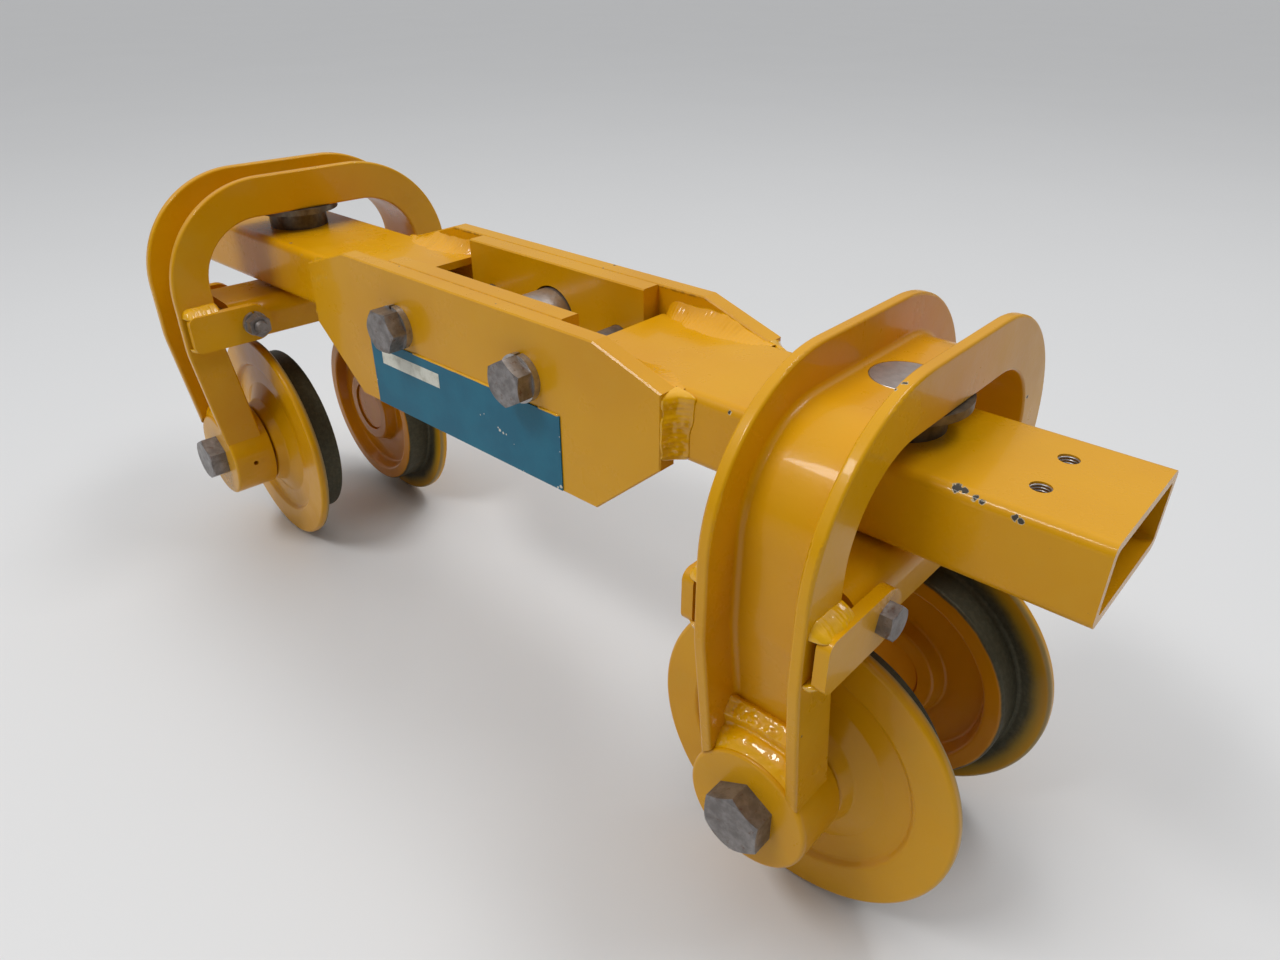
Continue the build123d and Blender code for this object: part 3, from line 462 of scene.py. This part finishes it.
def dress_frame():
    """Every CAD node takes the look of its slot in the record."""
    for row in frame["record"]["subparts"]:
        node, slot = row["node"], row["material_slot"]
        piece = NODES[node]
        if slot == "wheel_paint":
            side = -1 if "_front_" in node else 1
            dress(piece, finish_wheel(f"paint_{node}", node, side))
        elif slot == "amber_paint" and "yoke" not in node and ("tube" in node or "plate" in node):
            dress(piece, MATERIALS["bar_paint"])
        elif slot == "bolt_steel" and "washer" in node:
            dress(piece, MATERIALS["washer_steel"])
        elif node == "right_yoke_channel":
            dress(piece, MATERIALS["yoke_paint"])
        else:
            dress(piece, MATERIALS[slot])


# ---- meshes ----


def make_piece(name, points, faces, body, slot, material):
    """One mesh piece that rides on a body."""
    mesh = bpy.data.meshes.new(name)
    mesh.from_pydata([tuple(p) for p in points], [], faces)
    mesh.validate()
    for face in mesh.polygons:
        face.use_smooth = True
    mesh.update()
    piece = bpy.data.objects.new(name, mesh)
    bpy.context.scene.collection.objects.link(piece)
    dress(piece, MATERIALS[material])
    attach(piece, body)
    return piece


def merge(parts):
    """Join several (points, faces) lists into one."""
    points, faces = [], []
    for some_points, some_faces in parts:
        start = len(points)
        points += some_points
        faces += [[index + start for index in face] for face in some_faces]
    return points, faces


def resample(path, step):
    """Points along a polyline, evenly spaced."""
    path = [Vector(p) for p in path]
    found = [path[0]]
    for start, end in zip(path, path[1:]):
        count = max(1, round((end - start).length / step))
        found += [start.lerp(end, i / count) for i in range(1, count + 1)]
    return found


def grid(rows):
    """Faces over a rectangular grid of points given row by row."""
    width = len(rows[0])
    points = [p for row in rows for p in row]
    faces = []
    for r in range(len(rows) - 1):
        for c in range(width - 1):
            a = r * width + c
            faces.append([a, a + 1, a + width + 1, a + width])
    return points, faces


def smooth(value):
    value = min(1.0, max(0.0, value))
    return value * value * (3 - 2 * value)


def even(first, second):
    """Legs of a weld that stay the same along it, in mm."""
    return lambda share: (first * MM, second * MM)


def fillet_weld(spine, first, second, legs, seed, bulge=0.0, lump=0.55 * MM, ends=5 * MM, columns=14):
    """Weld in the corner along spine; each row runs from the toe on one face to the toe on the other."""
    centres = resample(spine, 0.7 * MM)
    first, second = Vector(first), Vector(second)
    shift = Vector((seed * 0.37, seed * 0.11, seed * 0.05))
    lengths = [0.0]
    for a, b in zip(centres, centres[1:]):
        lengths.append(lengths[-1] + (b - a).length)
    rows = []
    for centre, travelled in zip(centres, lengths):
        share = travelled / lengths[-1]
        to_end = min(travelled, lengths[-1] - travelled)
        full = max(0.04, math.sqrt(1 - (1 - min(1.0, to_end / ends)) ** 2))
        one, two = legs(share)
        one *= (1 + 0.16 * noise.noise(centre * 130 + shift)) * full
        two *= (1 + 0.20 * noise.noise(centre * 130 - shift)) * full
        away = (first * two + second * one).normalized()
        row = []
        for column in range(columns + 1):
            t = column / columns
            belly = math.sin(math.pi * t)
            flat = centre + first * one * (1 - t) + second * two * t
            ripple = 0.16 * MM * math.sin(2 * math.pi * (travelled / (2.6 * MM) + 0.35 * belly))
            rough = lump * (noise.noise(flat * 170 + shift) + 0.5 * noise.noise(flat * 420 - shift))
            rise = bulge * min(one, two) * belly + (rough + ripple) * belly ** 0.6 * full
            row.append(flat + away * (rise - 0.25 * MM * (1 - belly)))
        rows.append(row)
    points, faces = grid(rows)
    start = len(points)
    points += [centre - (first + second) * 0.3 * MM for centre in centres]
    width = columns + 1
    for r in range(len(rows) - 1):
        left, right = r * width, r * width + columns
        faces.append([start + r, left, left + width, start + r + 1])
        faces.append([right, start + r, start + r + 1, right + width])
    return points, faces


def saddle(side, seed):
    """Weld pad between a leg's flanges, from the web out over the boss, in the yoke's own frame."""
    half = CHANNEL_HALF - FLANGE_THICKNESS + 0.6 * MM
    web_face = 80.6 * MM
    lip = AXLE_HEIGHT + BOSS_RADIUS + 14.5 * MM
    outer = BOSS_OUTER - 1.4 * MM
    columns, steps = 72, 80
    ridge_end, crease_at, belly_start = 0.41, 0.54, 0.55
    shift = Vector((seed * 1.7, seed * 0.9, 0))
    rows = []
    for r in range(steps + 1):
        v = r / steps
        row = []
        for c in range(columns + 1):
            u = 2 * c / columns - 1
            x = u * half
            boss_top = AXLE_HEIGHT + math.sqrt(BOSS_RADIUS ** 2 - x ** 2)
            waver = 1.2 * MM * noise.noise(Vector((x * 120, seed, 0)))
            start = Vector((x, web_face - 1.5 * MM, lip + waver))
            end = Vector((x, outer, boss_top - 0.4 * MM))
            flat = start.lerp(end, v)
            # heights in mm; v goes from the web to the boss's edge, and u from flange to flange
            ridge = 4.4 * smooth(v / 0.13) * (1 - smooth((v - ridge_end) / 0.10))
            crease = -0.9 * math.exp(-(((v - crease_at) / 0.05) ** 2))
            belly = 0.8 * math.sin(math.pi * smooth((v - belly_start) / (1 - belly_start)))
            shore = 2.6 * smooth((abs(u) - 0.74) / 0.26) * (1 - v) ** 0.6
            place = Vector((x, flat.y, flat.z)) * 230 + shift
            lumps = 0.95 * noise.noise(place) + 0.36 * noise.noise(place * 2.4)
            pits = -1.0 * max(0.0, noise.noise(place * 2.1 + Vector((5, 3, 1))) - 0.40) * 3
            rough = (lumps + pits) * (1.0 - 0.72 * smooth((v - 0.46) / 0.10))
            fade = min(1.0, v / 0.05, (1 - v) / 0.06 + 0.02)
            lift = (ridge + crease + belly + shore + rough) * fade * MM
            row.append(flat + Vector((0, 0.62, 0.78)) * lift)
        rows.append(row)
    points, faces = grid(rows)
    return [Vector((p.x, side * p.y, p.z)) for p in points], faces


def sloped_top(x):
    """Height of a side plate's top edge at x from the middle."""
    if x < PLATE_SHOULDER:
        return PLATE_TOP
    share = (x - PLATE_SHOULDER) / (PLATE_END - PLATE_SHOULDER)
    return PLATE_TOP + (TUBE_TOP - PLATE_TOP) * share


def build_saddles():
    seed = 3
    for name, place in YOKES.items():
        parts = []
        for side in (-1, 1):
            points, faces = saddle(side, seed)
            parts.append(([place @ p for p in points], faces))
            seed += 7
        make_piece(f"{name}_boss_welds", *merge(parts), f"{name}_yoke", "amber_paint", "weld_paint")


def build_lug_welds():
    """Lumpy fillets over the gap between each lug and its flange, at the lug's top and foot."""
    seed = 40
    face = CHANNEL_HALF
    for name, place in YOKES.items():
        parts = []
        for end in (-1, 1):
            for side in (-1, 1):
                out = (end, 0, 0)
                top = [(end * face, side * y * MM, LUG_TOP - 1.2 * MM) for y in (80, 105.5)]
                foot = [(end * face, side * y * MM, LUG_BOTTOM + 2.2 * MM) for y in (81.5, 105.8)]
                made = [
                    fillet_weld(top, (0, 0, 1), out, even(6.2, 8.4), seed, 0.06, 0.5 * MM),
                    fillet_weld(foot, (0, 0, -1), out, even(4.2, 6.4), seed + 1, 0.25, 0.4 * MM),
                ]
                parts += [([place @ p for p in points], faces) for points, faces in made]
                seed += 2
        make_piece(f"{name}_lug_welds", *merge(parts), f"{name}_yoke", "amber_paint", "weld_paint")


def build_bar_welds():
    """Fillets along the side plates: on the tubes' tops and undersides and down the plate ends."""
    seed = 80
    length = PLATE_END + 4 * MM - TUBE_START

    def top_legs(share):
        x = TUBE_START + share * length
        room = sloped_top(min(x, PLATE_END)) - TUBE_TOP
        spread = 6.0 * MM + 9.0 * MM * smooth(share / 0.45) - 8.0 * MM * smooth((share - 0.72) / 0.28)
        return max(0.5 * MM, min(room - 0.5 * MM, 8.5 * MM)), spread

    def end_legs(share):
        return PLATE_THICKNESS - 0.5 * MM, (11.5 - 1.5 * share) * MM

    fillets, beads = [], []
    for end in (-1, 1):
        for side in (-1, 1):
            out, along, inward = (0, side, 0), (end, 0, 0), (0, -side, 0)
            edge = side * TUBE_SIDE
            top = [(end * x, edge, TUBE_TOP - 0.1 * MM) for x in (TUBE_START, TUBE_START + length)]
            fillets.append(fillet_weld(top, (0, 0, 1), inward, top_legs, seed, -0.16, 0.25 * MM, ends=9 * MM))
            down = [(end * PLATE_END, edge, z) for z in (TUBE_TOP + 0.6 * MM, TUBE_BOTTOM + 0.5 * MM)]
            beads.append(fillet_weld(down, out, along, end_legs, seed + 1, -0.12, 0.8 * MM, ends=4 * MM))
            under = [(end * x * MM, edge, TUBE_BOTTOM + 0.1 * MM) for x in (85, 146)]
            beads.append(fillet_weld(under, (0, 0, -1), inward, even(6, 6), seed + 2, 0.1, 0.5 * MM))
            seed += 5
    make_piece("plate_fillet_welds", *merge(fillets), "load_bar", "amber_paint", "weld_paint_smooth")
    make_piece("plate_end_welds", *merge(beads), "load_bar", "amber_paint", "weld_paint")


def helix_thread(centre, top, depth, bore, height, pitch, segments=40):
    """Helical ridge that lines a tapped hole."""
    turns = depth / pitch
    count = int(turns * segments)
    root, crest = bore + 0.15 * MM, bore - height
    profile = ((root, -0.46), (crest, -0.10), (crest, 0.10), (root, 0.46))
    points, faces = [], []
    for i in range(count + 1):
        angle = 2 * math.pi * i / segments
        drop = pitch * i / segments
        for radius, offset in profile:
            points.append(Vector((
                centre.x + radius * math.cos(angle),
                centre.y + radius * math.sin(angle),
                top - drop + offset * pitch,
            )))
    width = len(profile)
    for i in range(count):
        for j in range(width):
            a = i * width + j
            b = i * width + (j + 1) % width
            faces.append([a, b, b + width, a + width])
    faces.append(list(range(width))[::-1])
    faces.append([count * width + j for j in range(width)])
    return points, faces


def build_tapped_threads():
    mount = next(m for m in frame["record"]["mounts"] if m["name"] == "accessory_holes")
    centre = Vector(mount["pos_m"])
    half = mount["dims"]["spacing_y_mm"] * MM / 2
    bore = mount["dims"]["hole_r_mm"] * MM
    parts = []
    for side in (-1, 1):
        at = Vector((centre.x, side * half, 0))
        parts.append(helix_thread(at, centre.z - 0.9 * MM, 3.6 * MM, bore, 0.55 * MM, 1.3 * MM))
    make_piece("tapped_hole_threads", *merge(parts), "load_bar", "bolt_steel", "pin_steel")


def build_nameplate_field():
    """Blank pale panel near the plate's upper left, and the ridge of paint along its top edge."""
    face = NAME_LOW.y
    left, right = -78 * MM, -20 * MM
    low, high = 195.6 * MM, 204.8 * MM
    front, back = face - 0.12 * MM, face + 0.2 * MM
    points = [(x, y, z) for x in (left, right) for y in (front, back) for z in (low, high)]
    faces = [[0, 1, 5, 4], [2, 6, 7, 3], [0, 2, 3, 1], [4, 5, 7, 6], [1, 3, 7, 5], [0, 4, 6, 2]]
    piece = make_piece("nameplate_blank_field", points, faces, "load_bar", "nameplate_blue", "blank_field")
    for polygon in piece.data.polygons:
        polygon.use_smooth = False
    ridges = []
    for index, (start, end) in enumerate(((-88.5, -66.5), (-45.5, 45.5), (66.5, 83.5))):
        spine = [(x * MM, PLATE_FACE, NAME_HIGH.z) for x in (start, end)]
        legs, seed = even(0.9, 1.1), 120 + index
        ridges.append(fillet_weld(spine, (0, 0, 1), (0, -1, 0), legs, seed, 0.2, 0.2 * MM, ends=2 * MM))
    make_piece("nameplate_paint_ridge", *merge(ridges), "load_bar", "amber_paint", "weld_paint")


# ---- stage ----


def build_floor():
    """Large pale floor."""
    size = 40
    mesh = bpy.data.meshes.new("floor")
    rim = [(-size, -size, 0), (size, -size, 0), (size, size, 0), (-size, size, 0)]
    mesh.from_pydata(rim, [], [(0, 1, 2, 3)])
    floor = bpy.data.objects.new("floor", mesh)
    bpy.context.scene.collection.objects.link(floor)
    floor.data.materials.append(floor_look())


def build_world():
    """Light that is strong overhead, dark below, and dimmer from the +X end."""
    world = bpy.data.worlds.new("soft_room")
    bpy.context.scene.world = world
    world.use_nodes = True
    tree = world.node_tree
    background = tree.nodes["Background"]
    place = tree.nodes.new("ShaderNodeTexCoord")
    split = tree.nodes.new("ShaderNodeSeparateXYZ")
    tree.links.new(place.outputs["Generated"], split.inputs[0])
    height = tree.nodes.new("ShaderNodeMapRange")
    tree.links.new(split.outputs["Z"], height.inputs["Value"])
    height.inputs["From Min"].default_value = 0.0
    height.inputs["From Max"].default_value = 1.0
    shade = tree.nodes.new("ShaderNodeMix")
    shade.data_type = "RGBA"
    tree.links.new(height.outputs["Result"], shade.inputs["Factor"])
    shade.inputs[6].default_value = (0.10, 0.10, 0.10, 1)
    shade.inputs[7].default_value = (1.12, 1.12, 1.12, 1)
    behind = tree.nodes.new("ShaderNodeVectorMath")
    behind.operation = "DOT_PRODUCT"
    tree.links.new(place.outputs["Generated"], behind.inputs[0])
    behind.inputs[1].default_value = (0.92, -0.38, 0.0)
    dim = tree.nodes.new("ShaderNodeMapRange")
    tree.links.new(behind.outputs["Value"], dim.inputs["Value"])
    dim.inputs["From Min"].default_value = -0.2
    dim.inputs["From Max"].default_value = 0.7
    dim.inputs["To Min"].default_value = 1.05
    dim.inputs["To Max"].default_value = 0.30
    tree.links.new(shade.outputs[2], background.inputs["Color"])
    tree.links.new(dim.outputs["Result"], background.inputs["Strength"])


def add_lamp(name, location, target, width, height, power):
    """Rectangular lamp at location, turned to target."""
    light = bpy.data.lights.new(name, "AREA")
    light.shape = "RECTANGLE"
    light.size = width
    light.size_y = height
    light.energy = power
    light.color = (1.0, 0.99, 0.97)
    lamp = bpy.data.objects.new(name, light)
    bpy.context.scene.collection.objects.link(lamp)
    lamp.location = location
    lamp.rotation_euler = (Vector(target) - Vector(location)).to_track_quat("-Z", "Y").to_euler()


def build_camera():
    """Camera at the reference view."""
    camera = bpy.data.cameras.new("photo_camera")
    camera.lens = 25.36
    camera.sensor_width = 36.0
    view = bpy.data.objects.new("photo_camera", camera)
    bpy.context.scene.collection.objects.link(view)
    view.location = (0.3992, -0.3377, 0.4219)
    view.rotation_euler = (math.radians(59.59), 0, math.radians(41.89))
    camera.clip_start = 0.01
    bpy.context.scene.camera = view
    bpy.context.scene.view_settings.view_transform = "Standard"


dress_frame()
build_saddles()
build_lug_welds()
build_bar_welds()
build_tapped_threads()
build_nameplate_field()
build_floor()
build_world()
add_lamp("ceiling_panel", (0.7, 0.8, 2.2), (0, 0, 0.1), 1.2, 0.5, 13)
add_lamp("front_lamp", (-0.36, -1.22, 1.98), (0.25, -0.07, 0.25), 0.85, 0.32, 16)
build_camera()
